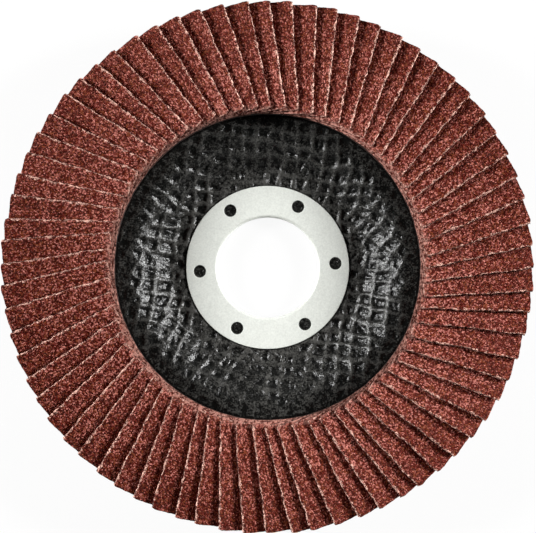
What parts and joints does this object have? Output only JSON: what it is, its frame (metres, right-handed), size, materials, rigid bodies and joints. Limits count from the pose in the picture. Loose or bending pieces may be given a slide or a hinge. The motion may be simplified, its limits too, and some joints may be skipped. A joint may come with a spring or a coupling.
{
  "type": "flap disc",
  "caption": "Flap disc for an angle grinder: dished glass-fibre backing plate, steel-lined bore and a fan of overlapping abrasive cloth flaps.",
  "frame": {"origin": "on the axis of the spindle bore, at the hub's back face, which is the face that the disc rests on", "axes": "+Z along the bore towards the abrasive side; the first pierced hole of the ring lies on +X; the fan repeats every 5 degrees about +Z"},
  "size_m": [0.115, 0.115, 0.0137],
  "materials": {
    "glass_fibre_resin": "moulded glass-fibre laminate in black resin, glossy, with a woven mesh imprint",
    "zinc_steel": "matt light grey zinc plate",
    "cured_adhesive": "cured adhesive, light brown, slightly glossy",
    "abrasive_cloth": "red-brown aluminium oxide grit bonded to cloth, with pale cut edges"
  },
  "bodies": {
    "root": {"backing_plate": "glass_fibre_resin", "centre_ring": "zinc_steel", "adhesive_bed": "cured_adhesive", "flap_pair_01": "abrasive_cloth", "flap_pair_02": "abrasive_cloth", "flap_pair_03": "abrasive_cloth", "flap_pair_04": "abrasive_cloth", "flap_pair_05": "abrasive_cloth", "flap_pair_06": "abrasive_cloth", "flap_pair_07": "abrasive_cloth", "flap_pair_08": "abrasive_cloth", "flap_pair_09": "abrasive_cloth", "flap_pair_10": "abrasive_cloth", "flap_pair_11": "abrasive_cloth", "flap_pair_12": "abrasive_cloth", "flap_pair_13": "abrasive_cloth", "flap_pair_14": "abrasive_cloth", "flap_pair_15": "abrasive_cloth", "flap_pair_16": "abrasive_cloth", "flap_pair_17": "abrasive_cloth", "flap_pair_18": "abrasive_cloth", "flap_pair_19": "abrasive_cloth", "flap_pair_20": "abrasive_cloth", "flap_pair_21": "abrasive_cloth", "flap_pair_22": "abrasive_cloth", "flap_pair_23": "abrasive_cloth", "flap_pair_24": "abrasive_cloth", "flap_pair_25": "abrasive_cloth", "flap_pair_26": "abrasive_cloth", "flap_pair_27": "abrasive_cloth", "flap_pair_28": "abrasive_cloth", "flap_pair_29": "abrasive_cloth", "flap_pair_30": "abrasive_cloth", "flap_pair_31": "abrasive_cloth", "flap_pair_32": "abrasive_cloth", "flap_pair_33": "abrasive_cloth", "flap_pair_34": "abrasive_cloth", "flap_pair_35": "abrasive_cloth", "flap_pair_36": "abrasive_cloth"}
  },
  "joints": []
}
